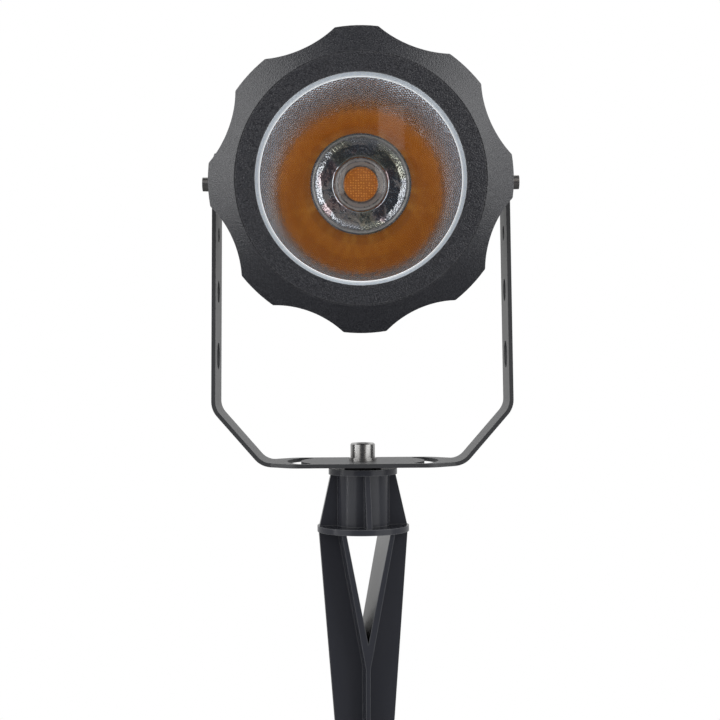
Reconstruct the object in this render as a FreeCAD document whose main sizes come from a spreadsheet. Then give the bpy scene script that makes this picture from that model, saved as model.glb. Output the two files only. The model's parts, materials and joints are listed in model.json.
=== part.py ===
"""Garden spike spotlight: a round finned head with a scalloped bezel, tilting in a bent steel yoke
that turns on the collar of a moulded ground spike.

Millimetres, +Z up, the light shines towards -Y. The origin is the centre of the underside of the
spike's disc, which is the soil line. The head's pieces are drawn with the tilt axis through their own
origin and the light's axis along Y, and are then tilted and lifted to the pivot.
"""
import FreeCAD, Part
import math
import os
import re
import Sketcher
from FreeCAD import Placement, Rotation, Vector

doc = FreeCAD.newDocument("spike_spotlight")
sheet = doc.addObject("Spreadsheet::Sheet", "Sizes")

# ---------------------------------------------------------------------------------------------
# Driving dimensions
# ---------------------------------------------------------------------------------------------
DRIVING = {
    # ground spike
    "disc_radius": 18.7,
    "disc_thickness": 2.4,
    "neck_radius": 10.7,
    "neck_height": 20.8,
    "collar_radius": 14.0,
    "collar_thickness": 2.4,
    "gusset_thickness": 2.2,
    "gusset_inset": 0.7,
    "blade_length": 205.0,
    "point_length": 16.0,
    "blade_thickness": 2.2,
    "blade_side_inset": 0.5,
    "blade_front_inset": 3.7,
    "point_half_width": 3.6,
    "window_half_width": 8.8,
    "window_depth": 44.4,
    "fork_wall": 1.9,
    "fork_join_height": 10.0,
    "rib_thickness": 1.8,
    "spike_turn": 8.0,
    # yoke and its bolt
    "seat_radius": 7.5,
    "seat_thickness": 1.4,
    "sheet_thickness": 1.6,
    "arm_width": 25.0,
    "pivot_rise": 113.1,
    "pivot_half_span": 59.4,
    "arm_splay": 1.0,
    "knee_rise": 23.0,
    "foot_half_length": 40.4,
    "bend_radius": 9.0,
    "plate_half_depth": 19.8,
    "plate_half_length": 28.0,
    "shoulder_length": 9.0,
    "shoulder_rounding": 8.0,
    "slot_path_radius": 28.0,
    "slot_width": 5.7,
    "slot_sweep": 66.0,
    "small_hole_radius": 3.0,
    "small_hole_drop": 20.7,
    "middle_hole_radius": 4.5,
    "middle_hole_drop": 43.9,
    "large_hole_radius": 5.5,
    "large_hole_drop": 70.1,
    "bolt_radius": 3.0,
    "bolt_grip": 11.0,
    "bolt_head_radius": 5.0,
    "bolt_head_height": 6.0,
    "bolt_head_bevel": 0.5,
    "bolt_socket_flats": 5.0,
    "bolt_socket_depth": 3.0,
    "bolt_washer_radius": 5.6,
    "bolt_washer_thickness": 1.2,
    "insert_wall": 1.5,
    "turning_clearance": 0.1,
    # tilt pivot
    "head_tilt": 4.3,
    "pivot_boss_radius": 8.0,
    "pivot_screw_radius": 2.0,
    "pivot_screw_depth": 8.5,
    "pivot_head_radius": 2.9,
    "pivot_head_height": 2.8,
    "pivot_slot_width": 1.2,
    "pivot_slot_depth": 1.3,
    "plain_washer_radius": 5.0,
    "plain_washer_thickness": 0.9,
    "spring_washer_radius": 4.4,
    "spring_washer_thickness": 1.2,
    "washer_gap": 0.06,
    # bezel, glass and reflector
    "bezel_reach": 33.0,
    "bezel_depth": 14.0,
    "bezel_radius": 60.0,
    "scallop_depth": 5.0,
    "bezel_edge": 3.2,
    "bezel_turn": 1.2,
    "lobe_count": 8,
    "scallop_radius": 37.0,
    "lobe_rounding": 1.2,
    "face_width": 7.4,
    "step_depth": 0.5,
    "step_width": 0.6,
    "lip_thickness": 1.7,
    "gasket_thickness": 0.8,
    "glass_seat_width": 3.4,
    "glass_thickness": 3.0,
    "flange_thickness": 1.0,
    "flange_inset": 3.5,
    "thread_wall": 5.5,
    "part_clearance": 0.2,
    "reflector_radius": 39.3,
    "reflector_wall": 1.2,
    "reflector_rim": 1.6,
    "throat_radius": 20.0,
    "led_setback": 37.5,
    "facets_around": 64,
    "facet_rings": 12,
    "bowl_stretches": 5,
    "lens_dome": 8.5,
    "lens_rim": 1.0,
    "dome_stretches": 6,
    # light engine
    "phosphor_radius": 6.8,
    "phosphor_thickness": 0.5,
    "board_side": 19.0,
    "board_thickness": 1.0,
    "pad_thickness": 0.5,
    "holder_margin": 7.0,
    "holder_mouth_margin": 4.2,
    "holder_dish_depth": 2.1,
    "holder_lens_seat": 1.0,
    "holder_screw_inset": 3.5,
    "holder_screw_radius": 1.5,
    "holder_screw_head_radius": 2.6,
    "holder_screw_head_height": 1.7,
    "holder_head_depth": 2.0,
    "holder_screw_reach": 6.0,
    # housing and rear
    "stop_thickness": 4.0,
    "stop_width": 3.0,
    "mouth_wall": 6.8,
    "barrel_wall": 3.3,
    "front_cavity_depth": 18.0,
    "thread_play": 0.05,
    "screw_end_gap": 1.0,
    "seal_thickness": 1.0,
    "platform_thickness": 4.0,
    "platform_margin": 4.0,
    "core_wall": 6.5,
    "fin_count": 20,
    "fin_front_height": 13.5,
    "fin_rear_height": 8.5,
    "fin_thickness": 1.8,
    "cover_inset": 0.5,
    "cover_thickness": 4.0,
    "cover_seal_thickness": 0.8,
    "cover_screw_radius": 1.5,
    "cover_screw_head_radius": 2.4,
    "cover_screw_head_height": 1.8,
    "cover_screw_count": 4,
    "cover_screw_depth": 6.0,
    "driver_length": 42.0,
    "driver_height": 28.0,
    "driver_depth": 15.0,
    "chamber_margin": 4.8,
    "chamber_end_room": 7.0,
    # cable gland
    "gland_stem_wall": 1.1,
    "gland_hex_thickness": 4.5,
    "gland_hex_margin": 2.5,
    "gland_neck_length": 5.0,
    "gland_nut_wall": 2.2,
    "gland_nut_length": 11.0,
    "gland_bore_radius": 3.3,
    "gland_wall": 1.6,
    "gland_lock_margin": 2.0,
    "gland_lock_thickness": 3.0,
}

# Sizes that follow from the driving ones.
DERIVED = {
    # levels of the spike and yoke, measured up from the soil line
    "collar_base": "disc_thickness + neck_height",
    "collar_top": "collar_base + collar_thickness",
    "plate_base": "collar_top + seat_thickness",
    "plate_top": "plate_base + sheet_thickness",
    "bolt_washer_top": "plate_top + bolt_washer_thickness",
    "pivot_height": "plate_top + pivot_rise",
    "arm_top": "pivot_height + arm_width / 2",
    "knee_height": "plate_base + knee_rise",
    "knee_half_span": "pivot_half_span + arm_splay",
    "arm_lean": "arm_splay / (pivot_height - knee_height)",
    "arm_top_half_span": "pivot_half_span - arm_lean * arm_width / 2",
    "tip_shoulder": "blade_length - point_length",
    "blade_half_width": "disc_radius - blade_side_inset",
    "blade_half_depth": "disc_radius - blade_front_inset",
    "vee_half_width": "window_half_width + fork_wall",
    "vee_depth": "window_depth + fork_join_height",
    "insert_radius": "bolt_radius + insert_wall",
    "shoulder_half_length": "plate_half_length + shoulder_length",
    # positions along the light's axis, front to rear, measured from the tilt axis
    "bezel_front": "0 - bezel_reach",
    "gasket_front": "bezel_front + lip_thickness",
    "glass_front": "gasket_front + gasket_thickness",
    "flange_front": "glass_front + glass_thickness",
    "housing_front": "flange_front + flange_thickness",
    "bezel_rear": "bezel_front + bezel_depth",
    "seal_rear": "bezel_rear + seal_thickness",
    "led_plane": "flange_front + led_setback",
    "board_front": "led_plane + phosphor_thickness",
    "board_rear": "board_front + board_thickness",
    "platform_front": "board_rear + pad_thickness",
    "platform_rear": "platform_front + platform_thickness",
    "cover_front": "platform_rear + driver_depth + chamber_end_room",
    "cover_rear": "cover_front + cover_seal_thickness + cover_thickness",
    "gland_hex_rear": "cover_rear + gland_hex_thickness",
    "gland_thread_rear": "gland_hex_rear + gland_neck_length",
    "gland_stem_front": "cover_front + cover_seal_thickness - gland_lock_thickness - 1",
    "cover_screw_reach": "cover_rear - cover_screw_head_height - cover_front + cover_screw_depth",
    "focal_length": "(sqrt(led_setback * led_setback + reflector_radius * reflector_radius)"
                    " - led_setback) / 2",
    "reflector_foot": "led_plane + focal_length - throat_radius * throat_radius / (4 * focal_length)",
    # positions across the head, where the upright washers and bosses clear the leaning arms
    "washer_play": "pivot_boss_radius * arm_lean + washer_gap",
    "boss_half_span": "pivot_half_span - sheet_thickness - washer_play",
    "washer_seat": "pivot_half_span + washer_play",
    "spring_washer_seat": "washer_seat + plain_washer_thickness",
    "screw_seat": "spring_washer_seat + spring_washer_thickness",
    "opening_radius": "reflector_radius + reflector_rim",
    "face_radius": "opening_radius + face_width",
    "glass_radius": "opening_radius + glass_seat_width",
    "recess_radius": "glass_radius + part_clearance",
    "thread_radius": "recess_radius + thread_wall",
    "bezel_bore_radius": "thread_radius + part_clearance",
    "scallop_valley": "bezel_radius - scallop_depth",
    "flange_radius": "thread_radius - flange_inset",
    "stop_radius": "thread_radius + stop_width",
    "front_cavity_radius": "thread_radius - mouth_wall",
    "barrel_radius": "front_cavity_radius + barrel_wall",
    "holder_radius": "throat_radius + holder_margin",
    "holder_mouth": "phosphor_radius + holder_mouth_margin",
    "holder_screw_pitch": "holder_radius - holder_screw_inset",
    "platform_radius": "holder_radius + platform_margin",
    "chamber_radius": "sqrt(driver_length * driver_length + driver_height * driver_height) / 2"
                      " + chamber_margin",
    "core_radius": "chamber_radius + core_wall",
    "cover_radius": "core_radius - cover_inset",
    "cover_screw_pitch": "(chamber_radius + cover_radius) / 2",
    "fin_front_radius": "core_radius + fin_front_height",
    "fin_rear_radius": "core_radius + fin_rear_height",
    "gland_thread_radius": "gland_bore_radius + gland_wall + gland_stem_wall",
    "gland_flats": "(gland_thread_radius + gland_hex_margin) * 2",
    "gland_lock_flats": "(gland_thread_radius + gland_lock_margin) * 2",
    "gland_nut_radius": "gland_thread_radius + gland_nut_wall",
}

rows = [(alias, str(number)) for alias, number in DRIVING.items()]
rows += [(alias, "=" + formula) for alias, formula in DERIVED.items()]
for row, (alias, content) in enumerate(rows, start=1):
    sheet.set(f"A{row}", alias.replace("_", " "))
    sheet.set(f"B{row}", content)
    sheet.setAlias(f"B{row}", alias)
doc.recompute()

ALIASES = set(DRIVING) | set(DERIVED)


def size(alias):
    """The number that a cell of the sheet holds."""
    return float(getattr(sheet, alias))


def bound(formula):
    """The formula with each alias written as a cell of the sheet."""
    return re.sub(r"[a-z_]+", lambda word: f"Sizes.{word[0]}" if word[0] in ALIASES else word[0], formula)


# ---------------------------------------------------------------------------------------------
# Sketch and feature helpers
# ---------------------------------------------------------------------------------------------
def new_body(label):
    body = doc.addObject("PartDesign::Body", label)
    body.Label = label
    return body


def origin_plane(body, role):
    return next(feature for feature in body.Origin.OriginFeatures if feature.Role == role)


def sketch_on(body, role, name, lift=None):
    """An empty sketch on one of the body's own planes, lifted along the plane's normal."""
    sketch = body.newObject("Sketcher::SketchObject", f"{body.Label}_{name}")
    sketch.AttachmentSupport = (origin_plane(body, role), "")
    sketch.MapMode = "FlatFace"
    if lift:
        sketch.setExpression("AttachmentOffset.Base.z", bound(lift))
    return sketch


def hold_point(sketch, element, vertex, across, up):
    """Ties a point to two formulas, measured from the sketch's origin along its two axes."""
    for formula, kind, axis in ((across, "DistanceX", -2), (up, "DistanceY", -1)):
        if formula == "0":
            sketch.addConstraint(Sketcher.Constraint("PointOnObject", element, vertex, axis))
        else:
            row = sketch.addConstraint(Sketcher.Constraint(kind, -1, 1, element, vertex, 1.0))
            sketch.setExpression(f"Constraints[{row}]", bound(formula))


def outline(sketch, corners):
    """A closed straight-sided outline through corners that are pairs of formulas."""
    first = sketch.GeometryCount
    count = len(corners)
    ring = [Vector(math.cos(2 * math.pi * k / count), math.sin(2 * math.pi * k / count), 0)
            for k in range(count)]
    for k in range(count):
        sketch.addGeometry(Part.LineSegment(ring[k], ring[(k + 1) % count]), False)
    for k in range(count):
        sketch.addConstraint(Sketcher.Constraint("Coincident", first + k, 2, first + (k + 1) % count, 1))
    for k, (across, up) in enumerate(corners):
        hold_point(sketch, first + k, 1, across, up)


def circle(sketch, across, up, radius):
    element = sketch.addGeometry(Part.Circle(Vector(0, 0, 0), Vector(0, 0, 1), 1.0), False)
    hold_point(sketch, element, 3, across, up)
    row = sketch.addConstraint(Sketcher.Constraint("Radius", element, 1.0))
    sketch.setExpression(f"Constraints[{row}]", bound(radius))


def hexagon(sketch, flats):
    """A regular hexagon about the sketch's origin, from its width across flats."""
    corner, half_corner, half_flats = f"{flats} / sqrt(3)", f"{flats} / sqrt(12)", f"{flats} / 2"
    outline(sketch, [(corner, "0"), (half_corner, half_flats), (f"0 - {half_corner}", half_flats),
                     (f"0 - {corner}", "0"), (f"0 - {half_corner}", f"0 - {half_flats}"),
                     (half_corner, f"0 - {half_flats}")])


def rectangle(sketch, left, right, low, high):
    outline(sketch, [(left, low), (right, low), (right, high), (left, high)])


def pad(body, sketch, length, midplane=False, reversed_side=False):
    feature = body.newObject("PartDesign::Pad", f"{sketch.Name}_pad")
    feature.Profile = sketch
    feature.setExpression("Length", bound(length))
    feature.Midplane = midplane
    feature.Reversed = reversed_side
    return feature


def pocket(body, sketch, length=None, midplane=False, reversed_side=False):
    """A pocket of a given depth, or right through the body both ways when no depth is given."""
    feature = body.newObject("PartDesign::Pocket", f"{sketch.Name}_pocket")
    feature.Profile = sketch
    if length:
        feature.setExpression("Length", bound(length))
        feature.Midplane = midplane
        feature.Reversed = reversed_side
    else:
        feature.Type = "ThroughAll"
        feature.Midplane = True
    return feature


def turned(body, sketch, kind="Revolution", axis="V_Axis"):
    """A full turn of the sketch about one of its axes, added or cut away."""
    feature = body.newObject(f"PartDesign::{kind}", f"{sketch.Name}_{kind.lower()}")
    feature.Profile = sketch
    feature.ReferenceAxis = (sketch, [axis])
    feature.Angle = 360.0
    return feature


def polar(body, features, role, count):
    """Copies of features spread evenly about one of the body's axes."""
    doc.recompute()
    pattern = body.newObject("PartDesign::PolarPattern", f"{features[0].Name}_ring")
    pattern.Originals = features
    pattern.Axis = (next(axis for axis in body.Origin.OriginFeatures if axis.Role == role), [""])
    pattern.Angle = 360.0
    pattern.setExpression("Occurrences", bound(count))
    body.Tip = pattern
    return pattern


def mirrored(body, features, role):
    doc.recompute()
    mirror = body.newObject("PartDesign::Mirrored", f"{features[0].Name}_mirror")
    mirror.Originals = features
    mirror.MirrorPlane = (origin_plane(body, role), [""])
    body.Tip = mirror
    return mirror


def rounded(body, radius, wanted, kind="Fillet"):
    """Rounds or bevels every edge of the body that passes the test."""
    doc.recompute()
    base = body.Tip
    edges = [f"Edge{k}" for k, edge in enumerate(base.Shape.Edges, start=1) if wanted(edge)]
    feature = body.newObject(f"PartDesign::{kind}", f"{body.Label}_{kind.lower()}_{len(body.Group)}")
    feature.Base = (base, edges)
    feature.setExpression("Radius" if kind == "Fillet" else "Size", bound(radius))
    return feature


def ring(label, inner, outer, front, rear):
    """A plain ring about the light's axis, from one position along the axis to another."""
    body = new_body(label)
    sketch = sketch_on(body, "XY_Plane", "section")
    rectangle(sketch, inner, outer, front, rear)
    turned(body, sketch)
    return body


def ends(edge):
    return edge.Vertexes[0].Point, edge.Vertexes[-1].Point


def is_straight(edge):
    return edge.Curve.TypeId == "Part::GeomLine"


def runs_along(edge, axis):
    """True for a straight edge parallel to X, Y or Z (axis 0, 1 or 2)."""
    if not is_straight(edge):
        return False
    start, end = ends(edge)
    return all(abs(start[k] - end[k]) < 1e-6 for k in range(3) if k != axis)


HEAD_PLACEMENT = Placement(Vector(0, 0, size("pivot_height")), Rotation(Vector(1, 0, 0), size("head_tilt")))
SPIKE_PLACEMENT = Placement(Vector(0, 0, 0), Rotation(Vector(0, 0, 1), size("spike_turn")))


# ---------------------------------------------------------------------------------------------
# Ground spike
# ---------------------------------------------------------------------------------------------
def ground_spike():
    """Collar, neck and disc in one turn, four gussets between them, and below the disc a
    cross-shaped blade whose front and back rib forks round a V-shaped window."""
    body = new_body("ground_spike")
    turning = sketch_on(body, "XZ_Plane", "turning")
    outline(turning, [("0", "0"), ("disc_radius", "0"), ("disc_radius", "disc_thickness"),
                      ("neck_radius", "disc_thickness"), ("neck_radius", "collar_base"),
                      ("collar_radius", "collar_base"), ("collar_radius", "collar_top"),
                      ("0", "collar_top")])
    turned(body, turning)

    # side gussets and side blades share one flat web
    web = sketch_on(body, "XZ_Plane", "web")
    half = [("collar_radius - gusset_inset", "collar_base"),
            ("disc_radius - gusset_inset", "disc_thickness"),
            ("blade_half_width", "0"),
            ("point_half_width", "0 - tip_shoulder")]
    mirrored_half = [(f"0 - ({across})", up) for across, up in reversed(half)]
    outline(web, half + [("0", "0 - blade_length")] + mirrored_half)
    pad(body, web, "blade_thickness", midplane=True)

    # front and back gussets
    gusset = sketch_on(body, "YZ_Plane", "gusset")
    outline(gusset, [("collar_radius - gusset_inset", "collar_base"),
                     ("disc_radius - gusset_inset", "disc_thickness"),
                     ("0 - (disc_radius - gusset_inset)", "disc_thickness"),
                     ("0 - (collar_radius - gusset_inset)", "collar_base")])
    pad(body, gusset, "gusset_thickness", midplane=True)

    # the fork: two walls that join into one rib below the window
    fork = sketch_on(body, "XZ_Plane", "fork")
    outline(fork, [("vee_half_width", "0"), ("rib_thickness / 2", "0 - vee_depth"),
                   ("rib_thickness / 2", "0 - tip_shoulder"), ("0", "0 - blade_length"),
                   ("0 - rib_thickness / 2", "0 - tip_shoulder"),
                   ("0 - rib_thickness / 2", "0 - vee_depth"), ("0 - vee_half_width", "0")])
    pad(body, fork, "blade_half_depth * 2", midplane=True)

    window = sketch_on(body, "XZ_Plane", "window")
    outline(window, [("window_half_width", "0"), ("0", "0 - window_depth"), ("0 - window_half_width", "0")])
    pocket(body, window)

    # the fork narrows from front to back as it goes down, like the side blades
    taper = sketch_on(body, "YZ_Plane", "taper")
    for sign in ("", "0 - "):
        outline(taper, [(f"{sign}blade_half_depth", "0"),
                        (f"{sign}point_half_width", "0 - tip_shoulder"), ("0", "0 - blade_length"),
                        (f"{sign}blade_half_depth * 2", "0 - blade_length"),
                        (f"{sign}blade_half_depth * 2", "0")])
    pocket(body, taper)

    # blind bore for the threaded insert, from the collar's top
    bore = sketch_on(body, "XY_Plane", "bore", "collar_top")
    circle(bore, "0", "0", "insert_radius")
    pocket(body, bore, "bolt_grip + collar_thickness")
    body.Placement = SPIKE_PLACEMENT
    return body


def threaded_insert():
    """Brass sleeve moulded into the neck; the bolt's end stands on its threads."""
    body = new_body("threaded_insert")
    sketch = sketch_on(body, "XZ_Plane", "section")
    rectangle(sketch, "bolt_radius", "insert_radius", "collar_top - bolt_grip", "collar_top")
    turned(body, sketch)
    return body


def seat_washer():
    """Raised washer that carries the yoke's plate clear of the collar."""
    body = new_body("seat_washer")
    sketch = sketch_on(body, "XZ_Plane", "section")
    rectangle(sketch, "bolt_radius + turning_clearance", "seat_radius", "collar_top", "plate_base")
    turned(body, sketch)
    return body


def bolt_washer():
    body = new_body("bolt_washer")
    sketch = sketch_on(body, "XZ_Plane", "section")
    rectangle(sketch, "bolt_radius + turning_clearance", "bolt_washer_radius", "plate_top",
              "bolt_washer_top")
    turned(body, sketch)
    return body


def yoke_bolt():
    """Socket cap bolt on which the yoke turns."""
    body = new_body("yoke_bolt")
    sketch = sketch_on(body, "XZ_Plane", "section")
    outline(sketch, [("0", "collar_top - bolt_grip"), ("bolt_radius", "collar_top - bolt_grip"),
                     ("bolt_radius", "bolt_washer_top"), ("bolt_head_radius", "bolt_washer_top"),
                     ("bolt_head_radius", "bolt_washer_top + bolt_head_height"),
                     ("0", "bolt_washer_top + bolt_head_height")])
    turned(body, sketch)
    socket = sketch_on(body, "XY_Plane", "socket", "bolt_washer_top + bolt_head_height")
    hexagon(socket, "bolt_socket_flats")
    pocket(body, socket, "bolt_socket_depth")
    top = size("bolt_washer_top") + size("bolt_head_height")
    rounded(body, "bolt_head_bevel", lambda edge: is_rim(edge, top, size("bolt_head_radius")), "Chamfer")
    return body


def is_rim(edge, level, radius, axis=2):
    """True for a circle of the given radius that lies at a level along an axis."""
    if edge.Curve.TypeId != "Part::GeomCircle":
        return False
    return abs(edge.Curve.Radius - radius) < 1e-4 and abs(edge.Vertexes[0].Point[axis] - level) < 1e-4


# ---------------------------------------------------------------------------------------------
# Yoke
# ---------------------------------------------------------------------------------------------
def yoke_bracket():
    """One bent strip of sheet: a block with the strip's outer shape is bent round at its corners and
    hollowed to the sheet's thickness, then the wider plate, the slots and the holes follow."""
    body = new_body("yoke_bracket")
    strip = sketch_on(body, "XZ_Plane", "strip")
    right = [("foot_half_length", "plate_base"), ("knee_half_span", "knee_height"),
             ("arm_top_half_span", "arm_top")]
    left = [(f"0 - {across}", up) for across, up in reversed(right)]
    outline(strip, right + left)
    pad(body, strip, "arm_width", midplane=True)
    knee_and_foot = size("knee_height") + 1.0
    rounded(body, "bend_radius",
            lambda edge: runs_along(edge, 1) and edge.Vertexes[0].Point.z < knee_and_foot)
    doc.recompute()
    block = body.Tip
    open_faces = [f"Face{k}" for k, face in enumerate(block.Shape.Faces, start=1)
                  if abs(face.CenterOfMass.z - size("arm_top")) < 1e-4
                  or abs(abs(face.CenterOfMass.y) - size("arm_width") / 2) < 1e-4]
    shell = body.newObject("PartDesign::Thickness", "yoke_bracket_sheet")
    shell.Base = (block, open_faces)
    shell.setExpression("Value", bound("sheet_thickness"))
    shell.Reversed = True
    shell.Join = "Intersection"

    plate = sketch_on(body, "XY_Plane", "plate", "plate_base")
    corners = [("plate_half_length", "plate_half_depth"), ("shoulder_half_length", "arm_width / 2")]
    corners += [(across, f"0 - {up}") for across, up in reversed(corners)]
    corners += [(f"0 - {across}", up) for across, up in reversed(corners)]
    outline(plate, corners)
    pad(body, plate, "sheet_thickness")
    rounded(body, "shoulder_rounding",
            lambda edge: runs_along(edge, 2) and edge.Length < size("sheet_thickness") + 1e-4
            and abs(edge.Vertexes[0].Point.x) < size("plate_half_length") + 1)

    # rounded tops of the arms
    rounded(body, "arm_width / 2 - 0.1",
            lambda edge: is_straight(edge) and edge.Length < size("sheet_thickness") + 0.01
            and edge.CenterOfMass.z > size("arm_top") - 0.1)

    holes = sketch_on(body, "YZ_Plane", "arm_holes")
    circle(holes, "0", "pivot_height", "pivot_screw_radius + turning_clearance")
    for name in ("small", "middle", "large"):
        circle(holes, "0", f"pivot_height - {name}_hole_drop", f"{name}_hole_radius")
    pocket(body, holes)

    bolt_hole = sketch_on(body, "XY_Plane", "bolt_hole")
    circle(bolt_hole, "0", "0", "bolt_radius + turning_clearance")
    pocket(body, bolt_hole)

    # arc slots about the bolt, with round ends
    slot = sketch_on(body, "XZ_Plane", "slot")
    rectangle(slot, "slot_path_radius - slot_width / 2", "slot_path_radius + slot_width / 2",
              "plate_base - 1", "plate_top + 1")
    sweep = body.newObject("PartDesign::Groove", "yoke_bracket_slot_sweep")
    sweep.Profile = slot
    sweep.ReferenceAxis = (slot, ["V_Axis"])
    sweep.Midplane = True
    sweep.setExpression("Angle", bound("slot_sweep"))
    slot_ends = sketch_on(body, "XY_Plane", "slot_ends")
    for sign in ("", "0 - "):
        circle(slot_ends, "slot_path_radius * cos(slot_sweep / 2 * 1deg)",
               f"{sign}slot_path_radius * sin(slot_sweep / 2 * 1deg)", "slot_width / 2")
    end_holes = pocket(body, slot_ends)
    mirrored(body, [sweep, end_holes], "YZ_Plane")
    return body


# ---------------------------------------------------------------------------------------------
# Head: bezel, glass and reflector
# ---------------------------------------------------------------------------------------------
def bezel():
    """Screw-on ring: a flat face round the opening, a fine step, a cone that slopes back to the edge,
    and scallops that leave lobes to grip."""
    body = new_body("bezel")
    turning = sketch_on(body, "XY_Plane", "turning")
    outline(turning, [("opening_radius", "bezel_front"), ("face_radius", "bezel_front"),
                      ("face_radius", "bezel_front + step_depth"),
                      ("face_radius + step_width", "bezel_front + step_depth"),
                      ("bezel_radius", "bezel_rear - bezel_edge"), ("bezel_radius", "bezel_rear"),
                      ("bezel_bore_radius", "bezel_rear"), ("bezel_bore_radius", "flange_front"),
                      ("recess_radius", "flange_front"), ("recess_radius", "gasket_front"),
                      ("opening_radius", "gasket_front")])
    turned(body, turning)
    scallop = sketch_on(body, "XZ_Plane", "scallop")
    centre_radius = "(scallop_valley + scallop_radius)"
    scallop_angle = "(180 / lobe_count + bezel_turn) * 1deg"
    circle(scallop, f"{centre_radius} * cos({scallop_angle})", f"{centre_radius} * sin({scallop_angle})",
           "scallop_radius")
    scallop_cut = pocket(body, scallop)
    polar(body, [scallop_cut], "Y_Axis", "lobe_count")
    rounded(body, "lobe_rounding",
            lambda edge: runs_along(edge, 1) and edge.Length < size("bezel_edge") + 0.01)
    return body


def front_glass():
    return ring_disc("front_glass", "glass_radius", "glass_front", "flange_front")


def ring_disc(label, radius, front, rear):
    """A plain disc about the light's axis."""
    body = new_body(label)
    sketch = sketch_on(body, "XY_Plane", "section")
    rectangle(sketch, "0", radius, front, rear)
    turned(body, sketch)
    return body


def glass_gasket():
    return ring("glass_gasket", "opening_radius", "recess_radius", "gasket_front", "glass_front")


def bezel_seal():
    return ring("bezel_seal", "thread_radius", "stop_radius", "bezel_rear", "seal_rear")


def bowl_radius(position):
    """Radius of the reflector's parabola at a position along the light's axis."""
    return math.sqrt(4 * size("focal_length") * (size("led_plane") - position + size("focal_length")))


def reflector():
    """A turned parabolic bowl with a flange, cut out by a many-faced core whose staggered rings of
    corners leave diamond-shaped mirror facets."""
    front, foot = size("flange_front"), size("reflector_foot")
    wall, throat = size("reflector_wall"), size("throat_radius")
    back_of_flange = size("housing_front")

    stretches = int(size("bowl_stretches"))
    levels = [foot + (back_of_flange - foot) * k / stretches for k in range(stretches + 1)]
    outside = [Vector(bowl_radius(level) + wall, level, 0) for level in levels]
    section = outside + [Vector(size("flange_radius"), back_of_flange, 0),
                         Vector(size("flange_radius"), front, 0), Vector(0, front, 0), Vector(0, foot, 0)]
    blank = flat_face(section).revolve(Vector(0, 0, 0), Vector(0, 1, 0), 360)

    around = int(size("facets_around"))
    count = int(size("facet_rings"))
    rings = []
    for k in range(count + 1):
        radius = size("reflector_radius") + (throat - size("reflector_radius")) * k / count
        level = size("led_plane") + size("focal_length") - radius ** 2 / (4 * size("focal_length"))
        rings.append(facet_corners(radius, level, around, 0.5 * (k % 2)))
    rings.insert(0, facet_corners(size("reflector_radius"), front - 1.0, around, 0.0))
    rings.append(facet_corners(throat, foot + 1.0, around, 0.5 * (count % 2)))

    faces = [flat_face(rings[0]), flat_face(rings[-1])]
    for upper, lower in zip(rings, rings[1:]):
        faces += facet_band(upper, lower)
    core = Part.Solid(Part.Shell(faces))
    feature = doc.addObject("Part::Feature", "reflector")
    feature.Label = "reflector"
    feature.Shape = blank.cut(core)
    return feature


def facet_corners(radius, level, around, shift):
    """Corners of one ring, shifted by a share of a facet."""
    angles = [2 * math.pi * (k + shift) / around for k in range(around)]
    return [Vector(radius * math.cos(a), level, radius * math.sin(a)) for a in angles]


def flat_face(points):
    return Part.Face(Part.makePolygon(points + points[:1]))


def facet_band(upper, lower):
    """Triangles between two rings; the lower ring's corners may lie half a facet further on."""
    count = len(upper)
    step_on = (lower[0] - upper[0]).dot(upper[1] - upper[0]) < -1e-6
    faces = []
    for k in range(count):
        after = (k + 1) % count
        if step_on:
            faces.append(flat_face([upper[k], upper[after], lower[after]]))
            faces.append(flat_face([upper[k], lower[after], lower[k]]))
        else:
            faces.append(flat_face([upper[k], upper[after], lower[k]]))
            faces.append(flat_face([upper[after], lower[after], lower[k]]))
    return faces


def centre_lens():
    """Clear dome that stands in the reflector's throat, on the LED holder. Its curve is turned from a
    few straight stretches that lie on one arc."""
    body = new_body("centre_lens")
    sketch = sketch_on(body, "XY_Plane", "section")
    radius = "(throat_radius - part_clearance)"
    sphere = f"(({radius} * {radius} + lens_dome * lens_dome) / (2 * lens_dome))"
    rim = "reflector_foot - lens_rim"
    stretches = int(size("dome_stretches"))
    corners = [("0", "reflector_foot"), (radius, "reflector_foot"), (radius, rim)]
    for k in range(1, stretches):
        across = f"{radius} * {stretches - k} / {stretches}"
        corners.append((across, f"{rim} + {sphere} - lens_dome - sqrt({sphere} * {sphere}"
                                f" - {across} * {across})"))
    corners.append(("0", f"{rim} - lens_dome"))
    outline(sketch, corners)
    turned(body, sketch)
    return body


# ---------------------------------------------------------------------------------------------
# Head: light engine
# ---------------------------------------------------------------------------------------------
def led_phosphor():
    return ring_disc("led_phosphor", "phosphor_radius", "led_plane", "board_front")


def square_plate(label, side, front, rear):
    """A square plate across the light's axis."""
    body = new_body(label)
    sketch = sketch_on(body, "XY_Plane", "section")
    rectangle(sketch, f"0 - {side} / 2", f"{side} / 2", front, rear)
    pad(body, sketch, side, midplane=True)
    return body


def led_board():
    return square_plate("led_board", "board_side", "board_front", "board_rear")


def thermal_pad():
    return square_plate("thermal_pad", "board_side", "board_rear", "platform_front")


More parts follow.
